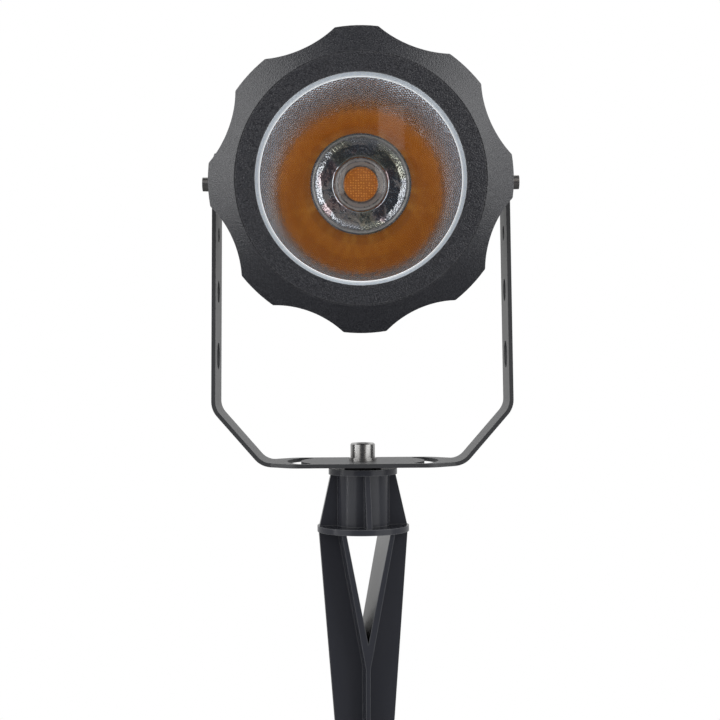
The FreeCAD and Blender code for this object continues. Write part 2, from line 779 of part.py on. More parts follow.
def led_holder():
    """Moulded ring that clamps the board to the platform and carries the lens and the reflector's foot.
    A shallow dish leads down to its mouth, so that the whole bowl sees the light."""
    body = new_body("led_holder")
    sketch = sketch_on(body, "XY_Plane", "section")
    outline(sketch, [("phosphor_radius + part_clearance", "board_front"),
                     ("holder_mouth", "reflector_foot + holder_dish_depth"),
                     ("throat_radius - holder_lens_seat", "reflector_foot"),
                     ("holder_radius", "reflector_foot"),
                     ("holder_radius", "platform_front"),
                     ("board_side / sqrt(2) + part_clearance", "platform_front"),
                     ("board_side / sqrt(2) + part_clearance", "board_front")])
    turned(body, sketch)
    for name, radius, depth in (("sink", "holder_screw_head_radius + part_clearance", "holder_head_depth"),
                                ("hole", "holder_screw_radius + thread_play", None)):
        cut = sketch_on(body, "XZ_Plane", name, "0 - reflector_foot")
        for sign in ("", "0 - "):
            circle(cut, f"{sign}holder_screw_pitch", "0", radius)
        pocket(body, cut, depth)
    return body


def screw(name, radius, reach, head_radius, head_height, slot_width, slot_depth):
    """A slotted cheese-head screw on its own Z axis: the head stands on Z = 0, the shank hangs below."""
    body = new_body(name)
    sketch = sketch_on(body, "XZ_Plane", "section")
    outline(sketch, [("0", f"0 - ({reach})"), (radius, f"0 - ({reach})"), (radius, "0"), (head_radius, "0"),
                     (head_radius, head_height), ("0", head_height)])
    turned(body, sketch)
    slot = sketch_on(body, "XY_Plane", "slot", head_height)
    rectangle(slot, f"0 - ({head_radius}) * 2", f"({head_radius}) * 2", f"0 - ({slot_width}) / 2",
              f"({slot_width}) / 2")
    pocket(body, slot, slot_depth)
    return body


def group(label, pattern, placements):
    """One node with a copy of the same piece at each placement in the head."""
    doc.recompute()
    feature = doc.addObject("Part::Feature", label)
    feature.Label = label
    copies = []
    for placement in placements:
        piece = pattern.Shape.copy()
        piece.Placement = placement.multiply(piece.Placement)
        copies.append(piece)
    feature.Shape = Part.makeCompound(copies)
    return feature


def facing_rear(across, position, up):
    """Puts a screw's Z axis along the light's axis, with its head to the rear (+Y)."""
    return Placement(Vector(across, position, up), Rotation(Vector(1, 0, 0), -90))


def facing_front(across, position, up):
    return Placement(Vector(across, position, up), Rotation(Vector(1, 0, 0), 90))


def holder_screws():
    pattern = screw("holder_screw_pattern", "holder_screw_radius", "holder_screw_reach",
                    "holder_screw_head_radius", "holder_screw_head_height", "holder_screw_radius / 2",
                    "holder_screw_head_height / 2")
    seat = size("reflector_foot") + size("holder_head_depth")
    places = [facing_front(sign * size("holder_screw_pitch"), seat, 0) for sign in (1, -1)]
    return group("holder_screws", pattern, places)


# ---------------------------------------------------------------------------------------------
# Head: housing, driver and rear cover
# ---------------------------------------------------------------------------------------------
def housing():
    """Die-cast shell: threaded mouth with a stop flange, barrel with the pivot bosses, a core ringed
    with cooling fins, a platform for the LED between the front cavity and the driver's chamber."""
    body = new_body("housing")
    outside = sketch_on(body, "XY_Plane", "outside")
    outline(outside, [("0", "housing_front"), ("thread_radius", "housing_front"),
                      ("thread_radius", "seal_rear"), ("stop_radius", "seal_rear"),
                      ("stop_radius", "seal_rear + stop_thickness"),
                      ("barrel_radius", "seal_rear + stop_thickness * 2"),
                      ("barrel_radius", "platform_front"), ("core_radius", "platform_rear"),
                      ("core_radius", "cover_front"), ("0", "cover_front")])
    turned(body, outside)

    fin = sketch_on(body, "XY_Plane", "fin")
    outline(fin, [("core_radius - 1", "platform_front - 1"), ("barrel_radius - 1", "platform_front - 1"),
                  ("fin_front_radius", "platform_rear"), ("fin_rear_radius", "cover_front"),
                  ("core_radius - 1", "cover_front")])
    fin_pad = pad(body, fin, "fin_thickness", midplane=True)
    polar(body, [fin_pad], "Y_Axis", "fin_count")

    boss = sketch_on(body, "YZ_Plane", "boss")
    circle(boss, "0", "0", "pivot_boss_radius")
    pad(body, boss, "boss_half_span * 2", midplane=True)

    front_cavity = sketch_on(body, "XY_Plane", "front_cavity")
    outline(front_cavity, [("0", "housing_front"), ("front_cavity_radius", "housing_front"),
                           ("front_cavity_radius", "housing_front + front_cavity_depth"),
                           ("platform_radius", "platform_front"), ("0", "platform_front")])
    turned(body, front_cavity, "Groove")
    chamber = sketch_on(body, "XY_Plane", "chamber")
    rectangle(chamber, "0", "chamber_radius", "platform_rear", "cover_front")
    turned(body, chamber, "Groove")

    tapped = sketch_on(body, "YZ_Plane", "tapped", "boss_half_span")
    circle(tapped, "0", "0", "pivot_screw_radius + thread_play")
    tapped_hole = pocket(body, tapped, "pivot_screw_depth + screw_end_gap")
    mirrored(body, [tapped_hole], "YZ_Plane")

    cover_hole = sketch_on(body, "XZ_Plane", "cover_hole", "0 - cover_front")
    circle(cover_hole, "cover_screw_pitch", "0", "cover_screw_radius + thread_play")
    cover_pocket = pocket(body, cover_hole, "cover_screw_depth + screw_end_gap", reversed_side=True)
    polar(body, [cover_pocket], "Y_Axis", "cover_screw_count")

    holder_hole = sketch_on(body, "XZ_Plane", "holder_hole", "0 - platform_front")
    for sign in ("", "0 - "):
        circle(holder_hole, f"{sign}holder_screw_pitch", "0", "holder_screw_radius + thread_play")
    pocket(body, holder_hole, "platform_thickness - screw_end_gap")
    return body


def driver_module():
    """Potted driver that stands on the platform's rear face."""
    body = new_body("driver_module")
    sketch = sketch_on(body, "XZ_Plane", "section", "0 - platform_rear")
    rectangle(sketch, "0 - driver_length / 2", "driver_length / 2", "0 - driver_height / 2",
              "driver_height / 2")
    pad(body, sketch, "driver_depth", reversed_side=True)
    rounded(body, "driver_depth / 8", lambda edge: runs_along(edge, 1))
    return body


def cover_seal():
    body = ring("cover_seal", "chamber_radius", "cover_radius", "cover_front",
                "cover_front + cover_seal_thickness")
    pierce_ring(body, "cover_screw_pitch", "cover_screw_radius + part_clearance")
    return body


def pierce_ring(body, pitch, radius):
    """A ring of through holes for the cover's screws."""
    sketch = sketch_on(body, "XZ_Plane", "screw_hole")
    circle(sketch, pitch, "0", radius)
    polar(body, [pocket(body, sketch)], "Y_Axis", "cover_screw_count")


def rear_cover():
    """Turned cap with a bevelled edge and a raised seat for the cable gland."""
    body = new_body("rear_cover")
    sketch = sketch_on(body, "XY_Plane", "section")
    inner = "cover_front + cover_seal_thickness"
    bevel = "cover_thickness / 2"
    outline(sketch, [("gland_thread_radius + thread_play", inner), ("cover_radius", inner),
                     ("cover_radius", f"cover_rear - {bevel}"), (f"cover_radius - {bevel}", "cover_rear"),
                     ("gland_thread_radius + thread_play", "cover_rear")])
    turned(body, sketch)
    pierce_ring(body, "cover_screw_pitch", "cover_screw_radius + part_clearance")
    sink = sketch_on(body, "XZ_Plane", "sink", "0 - cover_rear")
    circle(sink, "cover_screw_pitch", "0", "cover_screw_head_radius + part_clearance")
    polar(body, [pocket(body, sink, "cover_screw_head_height", reversed_side=True)], "Y_Axis",
          "cover_screw_count")
    return body


def cover_screws():
    pattern = screw("cover_screw_pattern", "cover_screw_radius", "cover_screw_reach",
                    "cover_screw_head_radius", "cover_screw_head_height", "cover_screw_radius / 2",
                    "cover_screw_head_height / 2")
    seat = size("cover_rear") - size("cover_screw_head_height")
    pitch = size("cover_screw_pitch")
    count = int(size("cover_screw_count"))
    angles = [2 * math.pi * k / count for k in range(count)]
    places = [facing_rear(pitch * math.cos(a), seat, pitch * math.sin(a)) for a in angles]
    return group("cover_screws", pattern, places)


# ---------------------------------------------------------------------------------------------
# Head: cable gland
# ---------------------------------------------------------------------------------------------
def gland_body():
    """Threaded stem through the cover with a hexagon behind it; its rear end grips the seal."""
    body = new_body("gland_body")
    sketch = sketch_on(body, "XY_Plane", "section")
    rectangle(sketch, "gland_bore_radius + gland_wall", "gland_thread_radius", "gland_stem_front",
              "gland_thread_rear")
    turned(body, sketch)
    collar = sketch_on(body, "XZ_Plane", "collar", "0 - cover_rear")
    hexagon(collar, "gland_flats")
    circle(collar, "0", "0", "gland_bore_radius + gland_wall")
    pad(body, collar, "gland_hex_thickness", reversed_side=True)
    return body


def gland_lock_nut():
    body = new_body("gland_lock_nut")
    sketch = sketch_on(body, "XZ_Plane", "section", "0 - (cover_front + cover_seal_thickness)")
    hexagon(sketch, "gland_lock_flats")
    circle(sketch, "0", "0", "gland_thread_radius + thread_play")
    pad(body, sketch, "gland_lock_thickness")
    return body


def gland_seal():
    return ring("gland_seal", "gland_bore_radius", "gland_bore_radius + gland_wall",
                "gland_hex_rear", "gland_thread_rear")


def gland_nut():
    """Domed nut: six flats at its front, a rounded end with the cable's mouth."""
    body = new_body("gland_nut")
    sketch = sketch_on(body, "XY_Plane", "section")
    outline(sketch, [("gland_thread_radius + thread_play", "gland_hex_rear"),
                     ("gland_nut_radius", "gland_hex_rear"),
                     ("gland_nut_radius", "gland_hex_rear + gland_nut_length * 0.6"),
                     ("gland_thread_radius", "gland_hex_rear + gland_nut_length"),
                     ("gland_bore_radius + gland_wall / 2", "gland_hex_rear + gland_nut_length"),
                     ("gland_bore_radius + gland_wall / 2", "gland_thread_rear"),
                     ("gland_thread_radius + thread_play", "gland_thread_rear")])
    turned(body, sketch)
    return body


# ---------------------------------------------------------------------------------------------
# Head: tilt pivot
# ---------------------------------------------------------------------------------------------
def facing_side(side, across):
    """Puts a screw's Z axis along the tilt axis, with its head outwards on the given side."""
    return Placement(Vector(side * across, 0, 0), Rotation(Vector(0, 1, 0), 90 * side))


def pivot_washers(label, radius, thickness, start):
    """One washer at each side of the yoke, from a distance along the tilt axis outwards."""
    pattern = new_body(f"{label}_pattern")
    sketch = sketch_on(pattern, "XZ_Plane", "section")
    rectangle(sketch, "pivot_screw_radius + thread_play", radius, "0", thickness)
    turned(pattern, sketch)
    return group(label, pattern, [facing_side(side, size(start)) for side in (1, -1)])


def pivot_screws():
    pattern = screw("pivot_screw_pattern", "pivot_screw_radius",
                    "screw_seat - boss_half_span + pivot_screw_depth",
                    "pivot_head_radius", "pivot_head_height", "pivot_slot_width", "pivot_slot_depth")
    return group("pivot_screws", pattern, [facing_side(side, size("screw_seat")) for side in (1, -1)])


# ---------------------------------------------------------------------------------------------
# Assembly, checks and export
# ---------------------------------------------------------------------------------------------
standing = [ground_spike(), threaded_insert(), seat_washer(), bolt_washer(), yoke_bolt(), yoke_bracket()]
head = [bezel(), glass_gasket(), front_glass(), bezel_seal(), reflector(), centre_lens(),
        led_phosphor(), led_board(), thermal_pad(), led_holder(), holder_screws(),
        housing(), driver_module(), cover_seal(), rear_cover(), cover_screws(),
        gland_body(), gland_lock_nut(), gland_seal(), gland_nut(),
        pivot_screws(),
        pivot_washers("plain_washers", "plain_washer_radius", "plain_washer_thickness", "washer_seat"),
        pivot_washers("spring_washers", "spring_washer_radius", "spring_washer_thickness",
                      "spring_washer_seat")]
doc.recompute()
for piece in head:
    piece.Placement = HEAD_PLACEMENT.multiply(piece.Placement)
doc.recompute()

for item in doc.Objects:
    if "Invalid" in item.State or "Error" in item.State:
        raise RuntimeError(f"{item.Label} failed: {item.State}")
for piece in standing + head:
    if piece.Shape.isNull() or not piece.Shape.isValid():
        raise RuntimeError(f"{piece.Label} has no valid shape")

os.makedirs("parts", exist_ok=True)
for piece in standing + head:
    piece.Shape.exportStep(f"parts/{piece.Label}.step")
    print(piece.Label, len(piece.Shape.Solids), round(piece.Shape.Volume, 1))
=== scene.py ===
"""Looks of a garden spike spotlight: finishes for its solids, a finely faceted bowl with the dish, the
rings and the clear dome round its LED, a pale studio, and the photograph's camera."""
import json
import math
import random
import bmesh
import bpy
from mathutils import Matrix, Vector

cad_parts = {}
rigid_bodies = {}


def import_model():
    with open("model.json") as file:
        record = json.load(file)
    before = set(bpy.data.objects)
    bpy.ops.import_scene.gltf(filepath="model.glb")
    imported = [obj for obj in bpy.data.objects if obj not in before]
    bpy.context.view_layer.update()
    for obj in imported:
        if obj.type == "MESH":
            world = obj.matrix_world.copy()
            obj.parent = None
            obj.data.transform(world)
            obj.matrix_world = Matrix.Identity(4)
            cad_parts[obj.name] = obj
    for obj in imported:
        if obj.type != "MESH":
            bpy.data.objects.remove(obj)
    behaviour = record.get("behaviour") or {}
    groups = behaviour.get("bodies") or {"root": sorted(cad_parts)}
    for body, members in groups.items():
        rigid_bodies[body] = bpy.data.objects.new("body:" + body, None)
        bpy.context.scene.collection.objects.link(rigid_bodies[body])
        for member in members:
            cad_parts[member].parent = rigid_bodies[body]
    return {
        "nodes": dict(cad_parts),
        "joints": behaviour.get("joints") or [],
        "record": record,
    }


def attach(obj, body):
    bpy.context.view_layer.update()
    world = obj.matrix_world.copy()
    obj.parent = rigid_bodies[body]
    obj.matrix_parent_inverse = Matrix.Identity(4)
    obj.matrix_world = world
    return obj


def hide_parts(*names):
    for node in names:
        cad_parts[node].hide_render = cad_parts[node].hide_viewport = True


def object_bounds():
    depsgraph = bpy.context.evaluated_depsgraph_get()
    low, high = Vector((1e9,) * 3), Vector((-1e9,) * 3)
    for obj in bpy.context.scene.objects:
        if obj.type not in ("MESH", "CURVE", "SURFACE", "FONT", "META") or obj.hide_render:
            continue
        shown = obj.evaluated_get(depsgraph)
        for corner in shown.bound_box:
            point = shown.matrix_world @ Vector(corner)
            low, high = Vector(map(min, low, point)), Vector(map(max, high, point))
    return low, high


for leftover in list(bpy.data.objects):
    bpy.data.objects.remove(leftover)
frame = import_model()
CAD_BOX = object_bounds()
MM = 0.001

# ---------------------------------------------------------------------------------------------
# Places read from the frame
# ---------------------------------------------------------------------------------------------
TILT_JOINT = next(joint for joint in frame["joints"] if joint["name"] == "tilt")
CABLE_ENTRY = next(mount for mount in frame["record"]["mounts"] if mount["name"] == "cable_entry")
PIVOT = Vector(TILT_JOINT["pos_m"])
REARWARD = Vector(CABLE_ENTRY["axis"]).normalized()
ACROSS = Vector((1, 0, 0))
UPWARD = ACROSS.cross(REARWARD)
HEAD = Matrix.Translation(PIVOT) @ Matrix((ACROSS, REARWARD, UPWARD)).transposed().to_4x4()


def in_head(node):
    """A node's corners in the head's own axes: across, rearward along the light's axis, and up."""
    inverse = HEAD.inverted()
    return [inverse @ vertex.co for vertex in frame["nodes"][node].data.vertices]


def along_axis(node):
    """Foremost and rearmost position of a node along the light's axis, from the tilt axis."""
    places = [corner.y for corner in in_head(node)]
    return min(places), max(places)


def radii_at(node, position):
    """Smallest and largest distance from the light's axis of a node's corners at one position."""
    radii = [math.hypot(corner.x, corner.z) for corner in in_head(node)
             if abs(corner.y - position) < 0.05 * MM]
    return min(radii), max(radii)


FLANGE_FRONT, REFLECTOR_FOOT = along_axis("reflector")
LED_PLANE = along_axis("led_phosphor")[0]
RIM_RADIUS, FLANGE_RADIUS = radii_at("reflector", FLANGE_FRONT)
THROAT_RADIUS = radii_at("reflector", REFLECTOR_FOOT)[0]
PHOSPHOR_RADIUS = radii_at("led_phosphor", LED_PLANE)[1]


# ---------------------------------------------------------------------------------------------
# Shader maths
# ---------------------------------------------------------------------------------------------
class Value:
    """A socket that answers to arithmetic: each operator adds a Math node to its finish."""

    def __init__(self, finish, socket):
        self.finish = finish
        self.socket = socket

    def combined(self, operation, *operands):
        return self.finish.node("ShaderNodeMath", {"operation": operation}, dict(enumerate(operands)))

    def __add__(self, other):
        return self.combined("ADD", self, other)

    __radd__ = __add__

    def __sub__(self, other):
        return self.combined("SUBTRACT", self, other)

    def __rsub__(self, other):
        return self.combined("SUBTRACT", other, self)

    def __mul__(self, other):
        return self.combined("MULTIPLY", self, other)

    __rmul__ = __mul__

    def clamped(self):
        """The value kept from 0 to 1."""
        return self.finish.node("ShaderNodeClamp", {}, {0: self})

    def between(self, low, high):
        """0 below low, 1 above high and a smooth step from one to the other."""
        return self.finish.node("ShaderNodeMapRange", {"interpolation_type": "SMOOTHSTEP"},
                                {"Value": self, "From Min": low, "From Max": high})


# A Mix node's colour sockets share their names with others, so they go by number.
COLOUR_A, COLOUR_B, COLOUR_RESULT = 6, 7, 2
# One minus the cosines of about 8 and 31 degrees: how far a rounded normal leans where an edge
# starts to show and where it shows in full.
EDGE_STARTS, EDGE_FULL = 0.01, 0.14


class Finish:
    """One material, or the world, with a method that makes its nodes and others for patterns."""

    def __init__(self, name, world=False):
        self.owner = bpy.data.worlds.new(name) if world else bpy.data.materials.new(name)
        self.owner.use_nodes = True
        self.tree = self.owner.node_tree
        self.tree.nodes.clear()
        self.surface = self.tree.nodes.new("ShaderNodeOutputWorld" if world else "ShaderNodeOutputMaterial")

    def node(self, kind, settings, inputs, output=0):
        """Adds a node and returns one of its outputs. Settings come first, then the values or links of
        its sockets. Colours are written without their alpha."""
        made = self.tree.nodes.new(kind)
        for name, setting in settings.items():
            setattr(made, name, setting)
        for name, given in inputs.items():
            socket = made.inputs[name]
            if isinstance(given, Value):
                self.tree.links.new(given.socket, socket)
            elif socket.type == "RGBA":
                socket.default_value = (*given, 1)
            else:
                socket.default_value = given
        return Value(self, made.outputs[output])

    def vector(self, operation, *operands, output="Vector"):
        """Vector maths on sockets and fixed vectors."""
        return self.node("ShaderNodeVectorMath", {"operation": operation},
                         dict(enumerate(operands)), output)

    def place(self, stretch=None):
        """Position on the piece itself, in metres, so that patterns move with it."""
        position = self.node("ShaderNodeTexCoord", {}, {}, "Object")
        if stretch is None:
            return position
        return self.node("ShaderNodeMapping", {}, {"Vector": position, "Scale": stretch})

    def from_pivot(self):
        """Position from the middle of the tilt axis."""
        return self.vector("SUBTRACT", self.place(), PIVOT)

    def off_axis(self):
        """Distance from the light's axis."""
        crossed = self.vector("CROSS_PRODUCT", self.from_pivot(), REARWARD)
        return self.vector("LENGTH", crossed, output="Value")

    def above_axis(self):
        """Height above the light's axis, negative below it."""
        return self.vector("DOT_PRODUCT", self.from_pivot(), UPWARD, output="Value")

    def noise(self, size, detail, stretch=None, roughness=0.5):
        """Soft noise whose lumps are about the given size across."""
        return self.node("ShaderNodeTexNoise", {}, {"Vector": self.place(stretch), "Scale": 1 / size,
                                                    "Detail": detail, "Roughness": roughness})

    def cells(self, size, randomness, stretch):
        """Distance, in cells, from the nearest of points spread evenly at about the given spacing."""
        return self.node("ShaderNodeTexVoronoi", {}, {"Vector": self.place(stretch), "Scale": 1 / size,
                                                      "Randomness": randomness})

    def edges(self, width):
        """1 along convex or concave edges, within about the given width, and 0 elsewhere."""
        rounded = self.node("ShaderNodeBevel", {"samples": 6}, {"Radius": width})
        flat = self.node("ShaderNodeNewGeometry", {}, {}, "Normal")
        likeness = self.vector("DOT_PRODUCT", rounded, flat, output="Value")
        return (1 - likeness).between(EDGE_STARTS, EDGE_FULL)

    def blend(self, factor, first, second):
        """A colour between two colours."""
        return self.node("ShaderNodeMix", {"data_type": "RGBA"},
                         {"Factor": factor, COLOUR_A: first, COLOUR_B: second}, COLOUR_RESULT)

    def bump(self, height, distance, strength):
        """A normal that follows a height of 0 to 1 which stands for the given distance."""
        return self.node("ShaderNodeBump", {},
                         {"Height": height, "Distance": distance, "Strength": strength})

    def coat(self, **sockets):
        """The Principled surface, with its sockets named in words."""
        inputs = {name.replace("_", " ").title(): given for name, given in sockets.items()}
        if "Ior" in inputs:
            inputs["IOR"] = inputs.pop("Ior")
        return self.node("ShaderNodeBsdfPrincipled", {}, inputs)

    def show(self, shader):
        """Puts the shader on the finish, and returns the material or world."""
        self.tree.links.new(shader.socket, self.surface.inputs["Surface"])
        return self.owner


def grey(level):
    return (level, level, level)


# ---------------------------------------------------------------------------------------------
# Finishes
# ---------------------------------------------------------------------------------------------
def powder_coat():
    """Fine-grained black powder coat on the die-cast head, with a painted highlight along its edges."""
    finish = Finish("black_powder_coat")
    grain = finish.noise(0.55 * MM, 1.0)
    drift = finish.noise(30 * MM, 3.0)
    colour = finish.blend(grain.between(0.36, 0.70), (0.0080, 0.0085, 0.0120), (0.025, 0.026, 0.031))
    # Painted highlight: the edges are lightened in the colour, standing for light caught by their rounding.
    colour = finish.blend(0.35 * finish.edges(0.4 * MM), colour, (0.10, 0.10, 0.105))
    return finish.show(finish.coat(base_color=colour, roughness=0.21 + 0.14 * grain + 0.05 * drift,
                                   ior=1.68, normal=finish.bump(grain, 0.19 * MM, 1.0)))


def sheet_coat():
    """Smoother satin coat on the bent sheet of the yoke."""
    finish = Finish("black_sheet_steel")
    grain = finish.noise(0.5 * MM, 2.0)
    drift = finish.noise(20 * MM, 2.0)
    colour = finish.blend(drift, (0.018, 0.019, 0.021), (0.027, 0.028, 0.031))
    return finish.show(finish.coat(base_color=colour, roughness=0.36 + 0.12 * grain + 0.06 * drift,
                                   ior=1.5, normal=finish.bump(grain, 0.05 * MM, 0.7)))


def moulded_plastic():
    """Injection-moulded black plastic, a little blue, with a drift and scuffs drawn out along the spike,
    and a painted highlight along its edges.
    """
    finish = Finish("black_moulded_plastic")
    flow = finish.noise(20 * MM, 3.0, stretch=(1.0, 1.0, 0.25))
    grain = finish.noise(0.7 * MM, 2.0)
    scuffs = finish.noise(4 * MM, 5.0, stretch=(1.0, 1.0, 0.12), roughness=0.7).between(0.62, 0.8)
    colour = finish.blend(flow, (0.0175, 0.0185, 0.0235), (0.0285, 0.0295, 0.0355))
    # Painted highlight: the edges are lightened in the colour, standing for light caught by their rounding.
    colour = finish.blend(0.75 * finish.edges(0.5 * MM), colour, (0.105, 0.108, 0.112))
    return finish.show(finish.coat(base_color=colour, roughness=0.17 + 0.08 * flow + 0.14 * scuffs,
                                   ior=1.27, normal=finish.bump(grain * 0.5 + flow * 0.8, 0.06 * MM, 0.6)))


def stainless():
    """Turned stainless steel with fine tool marks."""
    finish = Finish("stainless_steel")
    tone = 0.34
    marks = finish.noise(1.1 * MM, 4.0, stretch=(0.3, 0.3, 4.0))
    drift = finish.noise(4 * MM, 2.0)
    colour = finish.blend(drift, grey(tone * 0.86), (tone, tone * 0.985, tone * 0.95))
    return finish.show(finish.coat(base_color=colour, metallic=1.0, roughness=0.22 + 0.12 * marks,
                                   normal=finish.bump(marks, 0.01 * MM, 0.3)))


def plated(name, colour, rough):
    """Plain plated or bare metal with a light stain."""
    finish = Finish(name)
    drift = finish.noise(5 * MM, 3.0)
    stained = [0.82 * channel for channel in colour]
    return finish.show(finish.coat(base_color=finish.blend(drift, colour, stained), metallic=1.0,
                                   roughness=rough + 0.1 * drift))


def clear_glass(name, tint, haze):
    """Clear polished glass: what lies behind shows through, and the outside mirrors at a slant."""
    finish = Finish(name)
    smear = finish.noise(20 * MM, 3.0)
    see_through = finish.node("ShaderNodeBsdfTransparent", {}, {"Color": tint})
    polish = finish.node("ShaderNodeBsdfAnisotropic", {},
                         {"Color": grey(1.0), "Roughness": haze + 0.02 * smear})
    slant = finish.node("ShaderNodeFresnel", {}, {"IOR": 1.5})
    inside = finish.node("ShaderNodeNewGeometry", {}, {}, "Backfacing")
    return finish.show(finish.node("ShaderNodeMixShader", {},
                                   {0: slant * (1 - inside), 1: see_through, 2: polish}))


# The bowl's mesh holds this painted highlight: about 1 in the middle of a facet and 0 along its
# edges, and so a third on average. It lightens facet middles and shades facet edges in the colour.
FACET_PAINTED_HIGHLIGHT = "facet_painted_highlight"
FACET_HIGHLIGHT_AVERAGE = 0.33


def mirror():
    """Vacuum-metallised facets, each with a painted highlight in its middle and painted shade along its
    edges. Towards the rim a painted cool, pale grey reflection takes over, from further in at the top
    of the bowl than at the bottom."""
    finish = Finish("mirror_reflector")
    haze = finish.noise(12 * MM, 3.0)
    # The painted grey and the painted facet highlights start further in at the top of the bowl than at the
    # bottom.
    painted_reflection_reach = finish.off_axis() + 0.09 * finish.above_axis()
    painted_rim_grey = painted_reflection_reach.between(32.0 * MM, 38.5 * MM)
    # Painted highlight: each facet's middle lighter and its edges darker, from the mesh's value, shown
    # towards the rim.
    middle = finish.node("ShaderNodeAttribute", {"attribute_name": FACET_PAINTED_HIGHLIGHT}, {}, "Fac")
    painted_highlight_depth = 1.4 * painted_reflection_reach.between(26 * MM, 33 * MM)
    tone = (0.5 + (middle - FACET_HIGHLIGHT_AVERAGE) * painted_highlight_depth).clamped()
    # Painted reflection: towards the rim the colour turns a cool pale grey, standing for what the facets
    # mirror there.
    dark = finish.blend(painted_rim_grey, (0.68, 0.69, 0.70), (0.28, 0.33, 0.39))
    light = finish.blend(painted_rim_grey, (1.0, 1.0, 1.0), (0.64, 0.75, 0.87))
    return finish.show(finish.coat(base_color=finish.blend(tone, dark, light), metallic=1 - 0.22 * painted_rim_grey,
                                   roughness=0.06 + 0.03 * haze + 0.03 * painted_rim_grey))


def self_lit_satin_rim():
    """Pale satin flange between the glass and the bowl, with a painted highlight along the bowl's mouth.
    All of it shines faintly of itself, a painted light.
    """
    finish = Finish("self_lit_satin_flange")
    streaks = finish.noise(0.9 * MM, 3.0)
    band = finish.blend(streaks.between(0.3, 0.7), (0.68, 0.74, 0.81), (0.78, 0.84, 0.90))
    # Painted highlight: a near-white line along the bowl's mouth.
    outside = finish.off_axis().between(RIM_RADIUS + 0.5 * MM, RIM_RADIUS + 0.9 * MM)
    colour = finish.blend(outside, (0.95, 0.98, 1.0), band)
    # Painted light: the whole flange shines faintly of itself, though it is no lamp.
    return finish.show(finish.coat(base_color=colour, metallic=0.1, roughness=0.42,
                                   emission_color=colour, emission_strength=0.30,
                                   normal=finish.bump(streaks, 0.03 * MM, 0.5)))


def phosphor():
    """Amber phosphor with lighter rows of chips seen through it, and a faint painted light of its own,
    stronger over the chips.
    """
    finish = Finish("led_phosphor")
    grain = finish.noise(0.6 * MM, 3.0)
    between_chips = finish.cells(1.1 * MM, 0.30, stretch=(1.0, 0.0, 1.0)).between(0.15, 0.42)
    colour = finish.blend(grain, (0.25, 0.075, 0.003), (0.33, 0.104, 0.006))
    colour = finish.blend(between_chips, (0.66, 0.265, 0.033), colour)
    # Painted light: the phosphor shines faintly of itself, more over the chips, though it is no lamp.
    painted_glow = finish.blend(between_chips, (1.0, 0.40, 0.045), (0.86, 0.26, 0.010))
    return finish.show(finish.coat(base_color=colour, roughness=0.35 + 0.1 * grain,
                                   emission_color=painted_glow, emission_strength=0.18,
                                   normal=finish.bump(between_chips, 0.2 * MM, 0.4)))


def dark_mirror():
    """Polished metal with painted reflections of the room in faint blue, rose and olive, speckled round its
    edge.
    """
    finish = Finish("dark_mirror")
    haze = finish.noise(6 * MM, 2.0)
    rose = finish.noise(10 * MM, 1.0).between(0.52, 0.62)
    olive = finish.noise(14 * MM, 1.0).between(0.54, 0.64)
    speckle = finish.noise(0.7 * MM, 1.0) * finish.off_axis().between(16.0 * MM, 17.8 * MM)
    ripple = finish.noise(5 * MM, 2.0) + 0.5 * speckle
    # Painted reflections: blue-grey, rose and olive patches in the colour stand for the room mirrored in
    # the dish.
    colour = finish.blend(haze, (0.43, 0.48, 0.56), (0.60, 0.60, 0.60))
    colour = finish.blend(rose, colour, (0.60, 0.49, 0.51))
    colour = finish.blend(olive, colour, (0.54, 0.55, 0.47))
    return finish.show(finish.coat(base_color=colour, metallic=1.0, roughness=0.06 + 0.04 * haze,
                                   normal=finish.bump(ripple, 0.9 * MM, 0.6)))


def bright_ring():
    """Dull plated metal of the rings round the phosphor."""
    finish = Finish("bright_ring")
    haze = finish.noise(3 * MM, 2.0)
    colour = finish.blend(haze, (0.24, 0.26, 0.29), (0.36, 0.37, 0.38))
    return finish.show(finish.coat(base_color=colour, metallic=0.6, roughness=0.22 + 0.1 * haze))


def plain(name, dark, light, rough):
    """A plain moulded or cast material with a slight drift of tone and a fine grain."""
    finish = Finish(name)
    drift = finish.noise(4 * MM, 3.0)
    grain = finish.noise(0.5 * MM, 2.0)
    return finish.show(finish.coat(base_color=finish.blend(drift, dark, light),
                                   roughness=rough + 0.1 * grain,
                                   normal=finish.bump(grain, 0.04 * MM, 0.6)))


FINISHES = {
    "black_powder_coat": powder_coat(),
    "black_sheet_steel": sheet_coat(),
    "black_moulded_plastic": moulded_plastic(),
    "stainless_steel": stainless(),
    "clear_glass": clear_glass("clear_glass", grey(0.985), 0.012),
    "mirror_reflector": mirror(),
    "led_phosphor": phosphor(),
    "led_board": plain("led_board", (0.46, 0.50, 0.55), (0.56, 0.60, 0.64), 0.35),
    "white_plastic": plain("white_plastic", (0.34, 0.33, 0.32), (0.42, 0.41, 0.40), 0.28),
    "silicone_rubber": plain("silicone_rubber", (0.55, 0.57, 0.60), (0.66, 0.68, 0.70), 0.5),
    "black_rubber": plain("black_rubber", (0.010, 0.010, 0.011), (0.020, 0.020, 0.021), 0.62),
    "brass": plated("brass", (0.62, 0.42, 0.16), 0.3),
    "nickel_plated_brass": plated("nickel_plated_brass", (0.58, 0.56, 0.52), 0.25),
    "potted_driver": plain("potted_driver", (0.02, 0.02, 0.022), (0.035, 0.035, 0.037), 0.5),
    "thermal_pad_grey": plain("thermal_pad_grey", (0.14, 0.15, 0.17), (0.2, 0.21, 0.23), 0.7),
}
for part in frame["record"]["subparts"]:
    materials = frame["nodes"][part["node"]].data.materials
    materials.clear()
    materials.append(FINISHES[part["material_slot"]])


